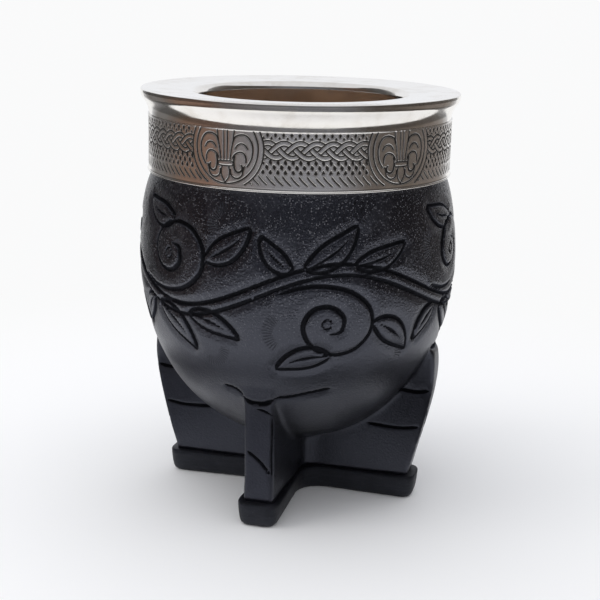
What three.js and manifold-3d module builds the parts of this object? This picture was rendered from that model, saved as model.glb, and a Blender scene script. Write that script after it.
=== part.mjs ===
// A mate gourd: a calabash cup in a moulded leather cover, on four legs, with a nickel silver rim.
// Millimetres, +Z up. The origin is on the floor, under the middle of the cup.
// The legs point along +X (right), +Y (back), -X (left) and -Y (front).
import * as THREE from "three";
import { mergeVertices } from "three/addons/utils/BufferGeometryUtils.js";
import Module from "manifold-3d";

const wasm = await Module();
wasm.setup();

// Heights of the stack, from the floor up
const SOLE_THICKNESS = 6.5;
const BELLY_ABOVE_SOLE = 59.5; // widest ring of the body
const RIM_ABOVE_BELLY = 45; // top edge of the rim
const COLLAR_HEIGHT = 6.6; // plain flared part of the rim
const BAND_HEIGHT = 13.6; // engraved part of the rim
const BEAD_HEIGHT = 1.3; // wire that finishes the band's lower edge

// Body: the gourd and the leather that covers it
const BODY_DIAMETER = 86;
const BODY_CLEARANCE = 8.5; // between the sole and the bottom of the body
const SHOULDER_RISE = 11; // how far the side stays upright above the widest ring
const NECK_ROLL_OUT = 1.7; // how the leather swells out from under the rim
const NECK_ROLL_DROP = 3;
const COVER_THICKNESS = 2;
const GOURD_WALL = 5;
const BORE_EASE = 12; // how far the gourd's throat runs down before it opens out

// Rim, of sheet metal
const BAND_DIAMETER = 80.9;
const RIM_FLARE = 2.05; // how far the rim's edge stands out past the band
const MOUTH_DIAMETER = 55.5;
const RIM_SHEET = 0.8;
const FLARE_START = 0.5; // share of the collar that stands upright before it flares
const MOUTH_DISH = 0.6; // how far the top ring slopes down to the mouth
const LIP_RADIUS = 2;
const THROAT_DEPTH = 11;
const BEAD_PROUD = 0.35;

// Legs and sole
const LEG_COUNT = 4;
const CORE_THICKNESS = 3.1; // stiff board inside a leg
const SIDE_LEG_REACH = 33.7; // from the axis to a side leg's end, at the sole
const STRAIGHT_LEG_REACH = 34.5; // the same for the front and back legs
const LEG_BEND_RISE = 20.5; // above the sole, where a leg's end turns upright
const LEG_SHOULDER_DROP = 29.5; // below the widest ring, where a side leg stands out most
const LEG_SHOULDER_PROUD = 5;
const LEG_TOP_RISE = 6.5; // from that shoulder to where the side leg runs into the body
const STRAIGHT_LEG_RISE = 31.5; // above the sole, up into the body, for the front and back legs
const LEG_CROTCH = 5; // rounding between two legs
const SOLE_MARGIN = 0.9; // how far the sole stands out along a leg's sides
const TOE_FLARE = 1.1; // how much more it stands out there at the toe
const TOE_MARGIN = 2.2; // how far it stands out past the leg's end
const TOE_CORNER = 4;
const SOLE_CROTCH = 7;
const SOLE_EDGE = 1.2; // rounding of the sole's edges
const SOLE_UNDERCUT = 0.4; // how far a toe draws in towards the floor

// Gap kept between nested pieces, and how far a cutter runs past what it cuts
const FIT_GAP = 0.3;
const CUT_PAST = 1;

// Facets
const TURN_SEGMENTS = 48;
const CURVE_STEPS = 5;
const LIP_STEPS = 2;

// Heights and radii worked out from the sizes above
const soleTop = SOLE_THICKNESS;
const bellyZ = soleTop + BELLY_ABOVE_SOLE;
const rimZ = bellyZ + RIM_ABOVE_BELLY;
const collarZ = rimZ - COLLAR_HEIGHT;
const bandZ = collarZ - BAND_HEIGHT;
const beadZ = bandZ - BEAD_HEIGHT;
const lipZ = rimZ - MOUTH_DISH;
const lipEndZ = lipZ - LIP_RADIUS;
const throatZ = lipEndZ - THROAT_DEPTH;
const bodyBottomZ = soleTop + BODY_CLEARANCE;
const bodyDrop = bellyZ - bodyBottomZ;

const bellyR = BODY_DIAMETER / 2;
const bandR = BAND_DIAMETER / 2;
const rimR = bandR + RIM_FLARE;
const bandInnerR = bandR - RIM_SHEET;
const neckR = bandInnerR - FIT_GAP;
const mouthR = MOUTH_DIAMETER / 2;
const throatR = mouthR + RIM_SHEET;
const boreR = throatR + FIT_GAP;
const lipStartR = mouthR + LIP_RADIUS;

const gourdInset = COVER_THICKNESS + FIT_GAP;
const cavityInset = gourdInset + GOURD_WALL;
const legHalf = CORE_THICKNESS / 2 + gourdInset;

const point = (r, z) => new THREE.Vector2(r, z);

// Solids: closed geometry turned into a manifold for cutting and joining, and back

function toSolid(geometry) {
  const bare = geometry.clone();
  bare.deleteAttribute("normal");
  bare.deleteAttribute("uv");
  const merged = mergeVertices(bare, 1e-4);
  return new wasm.Manifold(
    new wasm.Mesh({
      numProp: 3,
      vertProperties: merged.attributes.position.array,
      triVerts: new Uint32Array(merged.index.array),
    }),
  );
}

function toGeometry(solid) {
  const mesh = solid.getMesh();
  const geometry = new THREE.BufferGeometry();
  geometry.setAttribute("position", new THREE.BufferAttribute(mesh.vertProperties, 3));
  geometry.setIndex(new THREE.BufferAttribute(mesh.triVerts, 1));
  geometry.computeVertexNormals();
  return geometry;
}

const join = (solids) => solids.reduce((all, next) => all.add(next));

// Turned pieces: a profile of (radius, height) points, counter-clockwise, spun about the axis

function turned(profile, closed = true) {
  const points = closed ? [...profile, profile[0]] : profile;
  return new THREE.LatheGeometry(points, TURN_SEGMENTS).rotateX(Math.PI / 2);
}

const tube = (inner, outer, low, high) =>
  turned([point(inner, low), point(outer, low), point(outer, high), point(inner, high)]);

// The body's side, from the bottom up to a cut at topZ, set in by a wall
function bodySide(inset, topZ) {
  const side = new THREE.Path();
  side.absellipse(0, bellyZ, bellyR - inset, bodyDrop - inset, -Math.PI / 2, 0, false);
  side.bezierCurveTo(
    bellyR - inset, bellyZ + SHOULDER_RISE,
    neckR - inset + NECK_ROLL_OUT, beadZ - NECK_ROLL_DROP,
    neckR - inset, beadZ,
  );
  side.lineTo(neckR - inset, topZ);
  return side.getPoints(CURVE_STEPS);
}

const bodySolid = (inset, topZ) => toSolid(turned([...bodySide(inset, topZ), point(0, topZ)], false));

// The leather's radius at a height below the widest ring
const bodyRadiusAt = (z) => bellyR * Math.sqrt(1 - ((bellyZ - z) / bodyDrop) ** 2);

function gourdShell() {
  const cavity = new THREE.Path();
  const cavityR = bellyR - cavityInset;
  cavity.absellipse(0, bellyZ, cavityR, bodyDrop - cavityInset, -Math.PI / 2, 0, false);
  cavity.bezierCurveTo(cavityR, bellyZ + SHOULDER_RISE, boreR, throatZ - BORE_EASE, boreR, throatZ);
  cavity.lineTo(boreR, collarZ);
  return turned([...bodySide(gourdInset, collarZ), ...cavity.getPoints(CURVE_STEPS).reverse()], false);
}

// Rim: top ring, throat, collar, band, bead and the pitch they are bedded in

const collarSide = (inset) =>
  new THREE.QuadraticBezierCurve(
    point(bandR - inset, collarZ),
    point(bandR - inset, collarZ + FLARE_START * COLLAR_HEIGHT),
    point(rimR - inset, rimZ - RIM_SHEET),
  ).getPoints(CURVE_STEPS);

function mouthRing() {
  const ring = new THREE.Path();
  ring.moveTo(rimR, rimZ - RIM_SHEET);
  ring.lineTo(rimR, rimZ);
  ring.lineTo(rimR - RIM_SHEET, rimZ);
  ring.lineTo(lipStartR, lipZ);
  ring.absarc(lipStartR, lipEndZ, LIP_RADIUS, Math.PI / 2, Math.PI, false);
  ring.lineTo(throatR, lipEndZ);
  ring.absarc(lipStartR, lipEndZ, LIP_RADIUS - RIM_SHEET, Math.PI, Math.PI / 2, true);
  ring.lineTo(rimR - RIM_SHEET, rimZ - RIM_SHEET);
  return turned(ring.getPoints(LIP_STEPS));
}

const flareCollar = () => turned([...collarSide(0), ...collarSide(RIM_SHEET).reverse()]);

function lowerBead() {
  const bulge = new THREE.QuadraticBezierCurve(
    point(bandR, beadZ),
    point(bandR + 2 * BEAD_PROUD, (beadZ + bandZ) / 2),
    point(bandR, bandZ),
  );
  return turned([point(bandInnerR, beadZ), ...bulge.getPoints(CURVE_STEPS), point(bandInnerR, bandZ)]);
}

function pitchBedding() {
  const side = collarSide(RIM_SHEET + FIT_GAP).slice(0, -1);
  return turned([
    point(boreR, collarZ),
    ...side,
    point(lipStartR, lipZ - RIM_SHEET - FIT_GAP),
    point(boreR, lipEndZ),
  ]);
}

// Legs: upright blades under the body, four round the axis

const shoulderZ = bellyZ - LEG_SHOULDER_DROP;
const shoulderR = bodyRadiusAt(shoulderZ) + LEG_SHOULDER_PROUD;
const legTopZ = shoulderZ + LEG_TOP_RISE;
const straightTopZ = soleTop + STRAIGHT_LEG_RISE;

const prism = (shape, depth) =>
  new THREE.ExtrudeGeometry(shape, { depth, bevelEnabled: false, curveSegments: CURVE_STEPS });

// The side legs flare out under the body; the front and back ones stand straight and run up into it
const isFlared = (index) => index % 2 === 0;
const footReach = (index) => (isFlared(index) ? SIDE_LEG_REACH : STRAIGHT_LEG_REACH);

// A leg that points along +X, set in by a wall on its free sides
function legBlade(inset, innerR, bottomZ, index) {
  const flared = isFlared(index);
  const footR = footReach(index) - inset;
  const topZ = (flared ? legTopZ : straightTopZ) - inset;
  const side = new THREE.Shape();
  side.moveTo(innerR, bottomZ);
  side.lineTo(footR, bottomZ);
  if (flared) {
    if (bottomZ < soleTop) side.lineTo(footR, soleTop);
    side.quadraticCurveTo(shoulderR - inset, soleTop + LEG_BEND_RISE, shoulderR - inset, shoulderZ);
    side.quadraticCurveTo(shoulderR - inset, topZ, bodyRadiusAt(legTopZ) - inset, topZ);
  } else {
    side.lineTo(footR, topZ);
  }
  side.lineTo(innerR, topZ);
  const depth = 2 * (legHalf - inset);
  return prism(side, depth)
    .translate(0, 0, -depth / 2)
    .rotateX(Math.PI / 2);
}

const legTurn = (index) => (index * 2 * Math.PI) / LEG_COUNT;

const turnedBlade = (inset, innerR, bottomZ, index) =>
  toSolid(legBlade(inset, innerR, bottomZ, index).rotateZ(legTurn(index)));

const fourBlades = (inset, bottomZ) =>
  Array.from({ length: LEG_COUNT }, (_, i) => turnedBlade(inset, 0, bottomZ, i));

// A star with one arm along each leg: arms of a half width that flares to the toe, with rounded crotches
function starShape({ armHalf, toeHalf, reachOf, crotch, corner }) {
  const star = new THREE.Shape();
  for (let i = 0; i < LEG_COUNT; i++) {
    const turn = legTurn(i);
    const reach = reachOf(i);
    const at = (x, y) => point(x, y).rotateAround(point(0, 0), turn).toArray();
    const start = at(armHalf + crotch, -armHalf);
    if (i === 0) star.moveTo(...start);
    star.lineTo(...at(reach - corner, -toeHalf));
    star.quadraticCurveTo(...at(reach, -toeHalf), ...at(reach, corner - toeHalf));
    star.lineTo(...at(reach, toeHalf - corner));
    star.quadraticCurveTo(...at(reach, toeHalf), ...at(reach - corner, toeHalf));
    star.lineTo(...at(armHalf + crotch, armHalf));
    star.quadraticCurveTo(...at(armHalf, armHalf), ...at(armHalf, armHalf + crotch));
  }
  return star;
}

// The rounded post where the legs cross, from the sole into the body
function crossPost(inset, bottomZ) {
  const armHalf = legHalf - inset;
  const crotch = LEG_CROTCH + inset;
  const reach = armHalf + crotch + 2 * CUT_PAST;
  const star = starShape({ armHalf, toeHalf: armHalf, reachOf: () => reach, crotch, corner: CUT_PAST });
  const topZ = bodyBottomZ + LEG_CROTCH + COVER_THICKNESS;
  return toSolid(prism(star, topZ - bottomZ).translate(0, 0, bottomZ));
}

function leatherCover() {
  const outside = join([bodySolid(0, collarZ), crossPost(0, soleTop), ...fourBlades(0, soleTop)]);
  const below = soleTop - CUT_PAST;
  const hollow = join([
    bodySolid(COVER_THICKNESS, collarZ + CUT_PAST),
    crossPost(COVER_THICKNESS, below),
    ...fourBlades(COVER_THICKNESS, below),
  ]);
  return toGeometry(outside.subtract(hollow));
}

function legCore(index) {
  const innerR = CORE_THICKNESS / 2 + FIT_GAP;
  const blade = turnedBlade(gourdInset, innerR, soleTop, index);
  return toGeometry(blade.subtract(bodySolid(COVER_THICKNESS, collarZ)));
}

function solePlate() {
  const armHalf = legHalf + SOLE_MARGIN;
  const toeHalf = armHalf + TOE_FLARE;
  const reachOf = (index) => footReach(index) + TOE_MARGIN;
  const star = starShape({ armHalf, toeHalf, reachOf, crotch: SOLE_CROTCH, corner: TOE_CORNER });
  const plate = new THREE.ExtrudeGeometry(star, {
    depth: SOLE_THICKNESS - 2 * SOLE_EDGE,
    bevelThickness: SOLE_EDGE,
    bevelSize: SOLE_EDGE,
    bevelOffset: -SOLE_EDGE,
    bevelSegments: 2,
    curveSegments: CURVE_STEPS,
  }).translate(0, 0, SOLE_EDGE);
  const corners = plate.attributes.position;
  for (let i = 0; i < corners.count; i++) {
    const depth = 1 - corners.getZ(i) / SOLE_THICKNESS;
    const share = 1 - (depth * SOLE_UNDERCUT) / STRAIGHT_LEG_REACH;
    corners.setXY(i, corners.getX(i) * share, corners.getY(i) * share);
  }
  return plate;
}

// Materials

const material = (color, roughness, metalness) =>
  new THREE.MeshStandardMaterial({ color, roughness, metalness });

const polishedNickelSilver = material(0xc4bdb2, 0.16, 1);
const engravedNickelSilver = material(0x9a948a, 0.34, 1);
const blackLeather = material(0x1b1b1f, 0.5, 0);
const soleLeather = material(0x17171a, 0.58, 0);
const driedGourd = material(0xa9824f, 0.75, 0);
const pitch = material(0x2a1c12, 0.6, 0);
const coreWood = material(0xb89468, 0.8, 0);

// Assembly

const mateGourd = new THREE.Group();

function add(name, geometry, finish) {
  const mesh = new THREE.Mesh(geometry, finish);
  mesh.name = name;
  mateGourd.add(mesh);
}

add("gourd_shell", gourdShell(), driedGourd);
add("leather_cover", leatherCover(), blackLeather);
add("sole_plate", solePlate(), soleLeather);
add("leg_core_right", legCore(0), coreWood);
add("leg_core_back", legCore(1), coreWood);
add("leg_core_left", legCore(2), coreWood);
add("leg_core_front", legCore(3), coreWood);

add("mouth_ring", mouthRing(), polishedNickelSilver);
add("throat_sleeve", tube(mouthR, throatR, throatZ, lipEndZ), polishedNickelSilver);
add("flare_collar", flareCollar(), polishedNickelSilver);
add("engraved_band", tube(bandInnerR, bandR, bandZ, collarZ), engravedNickelSilver);
add("lower_bead", lowerBead(), polishedNickelSilver);
add("pitch_bedding", pitchBedding(), pitch);

export default mateGourd;
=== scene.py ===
import math

import bmesh
import bpy
import numpy as np
from mathutils import Matrix, Vector, noise


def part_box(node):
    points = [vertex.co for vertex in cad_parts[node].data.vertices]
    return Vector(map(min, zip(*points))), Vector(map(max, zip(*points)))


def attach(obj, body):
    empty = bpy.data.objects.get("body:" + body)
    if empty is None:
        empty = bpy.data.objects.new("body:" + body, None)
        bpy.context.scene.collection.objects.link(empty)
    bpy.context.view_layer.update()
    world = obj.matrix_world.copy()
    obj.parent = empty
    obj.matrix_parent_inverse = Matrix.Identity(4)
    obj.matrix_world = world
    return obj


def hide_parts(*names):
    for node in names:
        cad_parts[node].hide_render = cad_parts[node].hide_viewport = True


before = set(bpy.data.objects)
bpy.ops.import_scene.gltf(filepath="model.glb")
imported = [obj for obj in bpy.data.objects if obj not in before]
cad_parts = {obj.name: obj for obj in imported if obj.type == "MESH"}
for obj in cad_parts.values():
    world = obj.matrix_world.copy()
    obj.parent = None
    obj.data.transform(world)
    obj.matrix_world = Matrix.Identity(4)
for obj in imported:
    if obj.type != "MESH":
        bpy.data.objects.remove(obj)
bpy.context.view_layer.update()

MM = 0.001


# Sizes, in millimetres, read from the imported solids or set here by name

def corners(node):
    return [np.array(corner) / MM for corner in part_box(node)]


_, sole_high = corners("sole_plate")
_, cover_high = corners("leather_cover")
gourd_low, _ = corners("gourd_shell")
_, core_high = corners("leg_core_right")
_, straight_high = corners("leg_core_back")
ring_low, ring_high = corners("mouth_ring")
throat_low, throat_high = corners("throat_sleeve")
band_low, band_high = corners("engraved_band")
bead_low, bead_high = corners("lower_bead")

SHEET = 0.8           # metal sheet of the rim
COVER_WALL = 2.0      # leather
WALL_GAP = 0.3        # between leather and what it wraps
WRAP = COVER_WALL + WALL_GAP
GOURD_WALL = 5.0

SOLE_TOP = sole_high[2]
BELLY_R = cover_high[0]
BELLY_Z = SOLE_TOP + 59.5
BELLY_UPRIGHT = 11.0  # how strongly the side keeps upright above the belly
BODY_BOTTOM = gourd_low[2] - WRAP
BAND_R = band_high[0]
BAND_TOP = band_high[2]
BAND_FOOT = band_low[2]
BEAD_FOOT = bead_low[2]
NECK_R = BAND_R - SHEET - WALL_GAP
RIM_R = ring_high[0]
RIM_TOP = ring_high[2]
LIP_END = ring_low[2]
LIP_ROUND = 2.0
LIP_TOP = LIP_END + LIP_ROUND
THROAT_R = throat_high[0]
MOUTH_R = THROAT_R - SHEET

LEG_HALF = core_high[1] + WRAP + 0.2
LEG_SHOULDER_R = core_high[0] + WRAP
LEG_TOP = core_high[2] + WRAP
LEG_SHOULDER_Z = LEG_TOP - 6.5
LEG_BEND_Z = SOLE_TOP + 20.5
SIDE_FOOT_R = 33.7
STRAIGHT_FOOT_R = straight_high[1] + WRAP
STRAIGHT_TOP = SOLE_TOP + 31.5    # front and back legs run up into the body there

FRONT_TURN = math.radians(15.1)   # how far right of the front leg the viewer stands


# Meshes

def link(obj):
    bpy.context.scene.collection.objects.link(obj)
    return obj


def mesh_piece(name, points, faces, edges=()):
    mesh = bpy.data.meshes.new(name)
    mesh.from_pydata(np.asarray(points, float).tolist(), list(edges), [list(map(int, f)) for f in faces])
    mesh.update()
    return link(bpy.data.objects.new(name, mesh))


def quads(index, joined=()):
    """The faces of a grid of vertex numbers, joined into a ring along the given axes."""
    for axis in joined:
        index = np.concatenate([index, index.take([0], axis)], axis)
    return np.stack([index[:-1, :-1], index[:-1, 1:], index[1:, 1:], index[1:, :-1]], -1).reshape(-1, 4)


def keep_values(obj, kind, **values):
    """Stores one value for each vertex under a name."""
    for name, data in values.items():
        layer = obj.data.attributes.new(name, kind, "POINT")
        key = "vector" if kind == "FLOAT_VECTOR" else "value"
        layer.data.foreach_set(key, np.asarray(data, np.float32).ravel())


def make_with(obj, tree, values):
    """Runs a geometry tree on an object and keeps the result as its plain mesh."""
    modifier = obj.modifiers.new(tree.name, "NODES")
    modifier.node_group = tree
    for item in tree.interface.items_tree:
        if item.item_type == "SOCKET" and item.in_out == "INPUT" and item.name in values:
            modifier[item.identifier] = values[item.name]
    depsgraph = bpy.context.evaluated_depsgraph_get()
    made = bpy.data.meshes.new_from_object(
        obj.evaluated_get(depsgraph), preserve_all_data_layers=True, depsgraph=depsgraph
    )
    obj.modifiers.remove(modifier)
    rough = obj.data
    obj.data = made
    bpy.data.meshes.remove(rough)
    made.name = obj.name


def close_up(obj, crease, merge=1e-6):
    """Merges doubles, turns the faces outwards and shades smooth up to the crease angle."""
    work = bmesh.new()
    work.from_mesh(obj.data)
    bmesh.ops.remove_doubles(work, verts=work.verts, dist=merge)
    bmesh.ops.recalc_face_normals(work, faces=work.faces)
    work.to_mesh(obj.data)
    work.free()
    obj.data.shade_smooth()
    obj.data.set_sharp_from_angle(angle=math.radians(crease))
    return obj


def hand_over(obj, node):
    """The piece rides with the body and stands for its solid, which is hidden."""
    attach(obj, "root")
    if node:
        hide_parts(node)


# Node trees

class Made:
    """A node's output. Reckoning with it adds the nodes that do so."""

    def __init__(self, node, socket=None):
        self.node, self.socket, self.tree = node, socket, node.id_data

    def __getitem__(self, name):
        return Made(self.node, self.node.outputs[name])

    def __add__(self, other):
        return calc("ADD", self, other)

    def __sub__(self, other):
        return calc("SUBTRACT", self, other)

    def __mul__(self, other):
        return calc("MULTIPLY", self, other)

    def __truediv__(self, other):
        return calc("DIVIDE", self, other)


def put(kind, sockets=None, tree=None, **settings):
    """Adds a node beside those that it takes from, or to a tree, and gives its first output."""
    sockets = sockets or {}
    tree = tree or next(value.tree for value in sockets.values() if isinstance(value, Made))
    node = tree.nodes.new(kind)
    for name, value in settings.items():
        setattr(node, name, value)
    for key, value in sockets.items():
        socket = next((s for s in node.inputs if s.name == key and s.enabled), None) or node.inputs[key]
        if isinstance(value, Made):
            tree.links.new(value.socket, socket)
        else:
            socket.default_value = value
    return Made(node, next((s for s in node.outputs if s.enabled), None))


def calc(operation, *values, clamp=False):
    return put("ShaderNodeMath", dict(enumerate(values)), operation=operation, use_clamp=clamp)


def vector_calc(operation, *values):
    node = put("ShaderNodeVectorMath", dict(enumerate(values)), operation=operation)
    return node["Value" if operation in {"DOT_PRODUCT", "LENGTH"} else "Vector"]


def ease(value, low, high, at_low=0.0, at_high=1.0):
    sockets = {"Value": value, "From Min": low, "From Max": high, "To Min": at_low, "To Max": at_high}
    return put("ShaderNodeMapRange", sockets, interpolation_type="SMOOTHSTEP")["Result"]


def blend(factor, low, high):
    """Mixes two colours."""
    low, high = (end if isinstance(end, Made) else (*end, 1) for end in (low, high))
    mix = put("ShaderNodeMix", {0: factor, 6: low, 7: high}, data_type="RGBA").node
    return Made(mix, mix.outputs[2])


def cloud(place, scale, detail, roughness=0.5):
    sockets = {"Vector": place, "Scale": scale, "Detail": detail, "Roughness": roughness}
    return put("ShaderNodeTexNoise", sockets)["Fac"]


def xyz(place):
    return put("ShaderNodeSeparateXYZ", {0: place})


def new_tree(name, kind, inputs, outputs):
    tree = bpy.data.node_groups.new(name, kind)
    for in_out, sockets in (("INPUT", inputs), ("OUTPUT", outputs)):
        for label, socket in sockets.items():
            tree.interface.new_socket(label, in_out=in_out, socket_type="NodeSocket" + socket)
    return tree, put("NodeGroupInput", tree=tree)


# Lines, as arrays of points

def points_of(*columns):
    """Points from their coordinates, each an array or one number for all."""
    return np.stack(np.broadcast_arrays(*columns), 1)


def curve(*points, steps):
    """A curve from the first point to the last, drawn towards those between."""
    t = np.linspace(0, 1, steps)[:, None]
    points = [np.asarray(point, float) for point in points]
    while len(points) > 1:
        points = [(1 - t) * a + t * b for a, b in zip(points, points[1:])]
    return points[0]


def arc(centre, radius, start, end, steps):
    t = np.radians(np.linspace(start, end, steps))
    return points_of(centre[0] + radius * np.cos(t), centre[1] + radius * np.sin(t))


def running(steps):
    """The sum before each step and after the last."""
    return np.concatenate([[0], np.cumsum(steps)])


def run_along(points):
    """How far along a line each of its points is."""
    return running(np.linalg.norm(np.diff(points, axis=0), axis=1))


def unit(vectors):
    return vectors / np.maximum(np.linalg.norm(vectors, axis=1), 1e-9)[:, None]


def left_of(line):
    """At each point of a flat line, one step to its left."""
    ahead = unit(np.gradient(line, axis=0))
    return points_of(-ahead[:, 1], ahead[:, 0])


def even_steps(points, step):
    """The same line with points a step apart."""
    points = np.asarray(points, float)
    run = run_along(points)
    at = np.linspace(0, run[-1], max(2, int(round(run[-1] / step)) + 1))
    return points_of(*(np.interp(at, run, column) for column in points.T))


def flowing(points, step=0.25):
    """A smooth line through the points."""
    p = np.asarray(points, float)
    p = np.vstack([2 * p[0] - p[1], p, 2 * p[-1] - p[-2]])
    t = np.linspace(0, 1, 24, endpoint=False)[:, None]
    runs = []
    for a, b, c, d in zip(p, p[1:], p[2:], p[3:]):
        runs.append(0.5 * (2 * b + (c - a) * t + (2 * a - 5 * b + 4 * c - d) * t ** 2
                           + (3 * b - a - 3 * c + d) * t ** 3))
    return even_steps(np.vstack([*runs, p[-2:-1]]), step)


def softened(line, step, soft):
    """A closed line of complex numbers a step apart, with its corners rounded."""
    wave = np.fft.fftfreq(len(line), step)
    return np.fft.ifft(np.fft.fft(line) * np.exp(-2 * (np.pi * soft * wave) ** 2))


# Shader groups: effects that several finishes share

def leather_grain_group():
    """Fine pebbled grain, the soft mottling of dyed hide and small light specks that are a painted highlight, standing
    for glints on the pebble tops.
    """
    tree, given = new_tree("leather_grain", "ShaderNodeTree", {"Vector": "Vector", "Pebbles per metre": "Float"},
                           {"Height": "Float", "Mottle": "Float", "Specks": "Float"})
    place, pebbles = given["Vector"], given["Pebbles per metre"]
    shift = vector_calc("MULTIPLY", cloud(place, 900.0, 2.0)["Color"], (0.0004, 0.0004, 0.0004))
    where = vector_calc("ADD", place, shift)
    pebble = put("ShaderNodeTexVoronoi", {"Vector": where, "Scale": pebbles}, feature="SMOOTH_F1")
    dots = put("ShaderNodeTexVoronoi", {"Vector": where, "Scale": pebbles * 1.5})
    chance = put("ShaderNodeSeparateColor", {0: dots["Color"]})
    put("NodeGroupOutput", {
        "Height": ease(pebble["Distance"], 0.05, 0.75, 1.0, 0.0) * 0.75 + cloud(place, 5200.0, 3.0) * 0.8,
        "Mottle": cloud(place, 95.0, 5.0, 0.62),
        # Painted highlight: light specks put into the colour as glints on the grain
        "Specks": ease(chance, 0.68, 1.0) * ease(dots["Distance"], 0.2, 0.6, 1.0, 0.0),
    })
    return tree


def turned_polish_group():
    """Fine rings from polishing on the lathe, the smudges of hands and shallow dents."""
    tree, given = new_tree("turned_polish", "ShaderNodeTree", {"Vector": "Vector", "Rings per metre": "Float"},
                           {"Rings": "Float", "Smudge": "Float", "Dents": "Float"})
    place, rings = given["Vector"], given["Rings per metre"]
    parts = xyz(place)
    x, y, z = (parts[axis] for axis in "XYZ")
    ring_place = put("ShaderNodeCombineXYZ", {
        "X": calc("SQRT", x * x + y * y) * rings, "Y": z * rings, "Z": calc("ARCTAN2", y, x) * 3.0,
    })
    put("NodeGroupOutput", {
        "Rings": cloud(ring_place, 1.0, 3.0),
        "Smudge": cloud(place, 130.0, 6.0, 0.66),
        "Dents": cloud(place, 190.0, 1.0),
    })
    return tree


LEATHER_GRAIN = leather_grain_group()
TURNED_POLISH = turned_polish_group()


def grouped(group, place, per_metre):
    return put("ShaderNodeGroup", {0: place, 1: per_metre}, node_tree=group)


# Finishes

def new_finish(name):
    """An empty material and the place on the piece that its patterns follow."""
    material = bpy.data.materials.new(name)
    material.use_nodes = True
    material.node_tree.nodes.clear()
    return material, put("ShaderNodeTexCoord", tree=material.node_tree)["Object"]


def shaded(raised=None, **sockets):
    """The surface shader; what is raised comes as height, strength and distance."""
    if raised:
        sockets["Normal"] = put("ShaderNodeBump", dict(zip(("Height", "Strength", "Distance"), raised)))
    return put("ShaderNodeBsdfPrincipled", {key.replace("_", " "): value for key, value in sockets.items()})


def finished(material, raised=None, **sockets):
    put("ShaderNodeOutputMaterial", {"Surface": shaded(raised, **sockets)})
    return material


def stored(tree, name, output="Fac"):
    return put("ShaderNodeAttribute", tree=tree, attribute_name=name)[output]


def cover_leather_finish():
    material, place = new_finish("black_tooled_leather")
    grain = grouped(LEATHER_GRAIN, place, 1900.0)
    mottle, height = grain["Mottle"], xyz(place)["Z"]
    rub, gap, fan, fan_mask = (stored(place.tree, name) for name in ("rub", "line_gap", "veiner_count", "veiner_mask"))

    smooth_up_to, full_grain_from = 0.045, 0.072

    def from_legs_to_belly(on_legs, on_belly):
        return ease(height, smooth_up_to, full_grain_from, on_legs, on_belly)

    # Painted shade: the grooves and the veiner strokes are coloured near black and made partly metallic, standing for
    # the shade deep in the cut lines; the same masks also sink the bump and raise the roughness
    cut = ease(gap, 0.48, 0.92, 1.0, 0.0)
    veins = fan_mask * ease(calc("SINE", fan * (2 * math.pi)), 0.0, 0.8)
    dark = calc("MAXIMUM", cut, veins * 0.7)
    hide = blend(ease(mottle, 0.3, 0.72), (0.0022, 0.0022, 0.0034), (0.005, 0.005, 0.0075))
    # Painted highlight: light specks in the hide's colour stand for glints on the grain, fewer on the smoother legs
    hide_with_glints = blend(grain["Specks"] * from_legs_to_belly(0.12, 1.0), hide, (0.14, 0.14, 0.15))
    rubbed = blend(rub * mottle * 0.7, hide_with_glints, (0.022, 0.022, 0.026))
    pebbles = grain["Height"] * 0.7 * from_legs_to_belly(0.45, 1.0)
    dull = ease(mottle, 0.25, 0.75, 0.2, 0.31) + from_legs_to_belly(0.1, 0.0)
    return finished(
        material, (pebbles - dark * 1.6, 0.6, 0.00024), Specular_IOR_Level=1.0, Specular_Tint=(0.79, 0.83, 1.0, 1),
        Base_Color=blend(dark * 0.85, rubbed, (0.0012, 0.0012, 0.0015)), Roughness=dull + dark * 0.4,
        Metallic=cut * 0.75,
    )


def sole_leather_finish():
    material, place = new_finish("black_sole_leather")
    grain = grouped(LEATHER_GRAIN, place, 1500.0)
    fibres = cloud(vector_calc("MULTIPLY", place, (260.0, 260.0, 1900.0)), 1.0, 4.0)
    tone = ease(fibres, 0.35, 0.7) * grain["Mottle"]
    edge = blend(tone, (0.0036, 0.0037, 0.0052), (0.012, 0.0125, 0.017))
    # Painted highlight: faint light specks in the colour stand for glints on the grain
    return finished(
        material, (grain["Height"] * 0.6 + fibres, 0.5, 0.00012), Specular_IOR_Level=0.5,
        Specular_Tint=(0.82, 0.86, 1.0, 1), Base_Color=blend(grain["Specks"] * 0.25, edge, (0.05, 0.05, 0.054)),
        Roughness=ease(grain["Mottle"], 0.25, 0.75, 0.42, 0.6),
    )


def polished_alpaca_finish():
    material, place = new_finish("polished_alpaca")
    polish = grouped(TURNED_POLISH, place, 5200.0)
    smudge, rings = polish["Smudge"], polish["Rings"]
    tarnish = ease(smudge, 0.42, 0.75) * 0.45
    return finished(
        material, (rings * 0.05 + polish["Dents"] * 0.45, 0.25, 0.00025), Metallic=1.0,
        Base_Color=blend(tarnish, (0.915, 0.89, 0.85), (0.66, 0.60, 0.52)),
        Roughness=ease(smudge, 0.3, 0.75, 0.08, 0.17) + ease(rings, 0.52, 0.72, 0.0, 0.06),
    )


def engraved_alpaca_finish():
    material, place = new_finish("engraved_alpaca")
    polish = grouped(TURNED_POLISH, place, 4200.0)
    smudge, gap = polish["Smudge"], stored(place.tree, "line_gap")
    cut = ease(gap, 0.65, 1.4, 1.0, 0.0)
    grime = ease(gap, 1.1, 2.4, 1.0, 0.0) * ease(smudge, 0.3, 0.65)
    metal = blend(grime * 0.6, (0.84, 0.82, 0.795), (0.3, 0.27, 0.24))
    return finished(
        material, (polish["Dents"] * 0.5 - cut, 0.35, 0.00012), Metallic=calc("SUBTRACT", 1.0, cut * 0.7),
        Base_Color=blend(cut, metal, (0.018, 0.015, 0.013)),
        Roughness=ease(smudge, 0.3, 0.75, 0.15, 0.27) + cut * 0.35,
    )


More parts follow.
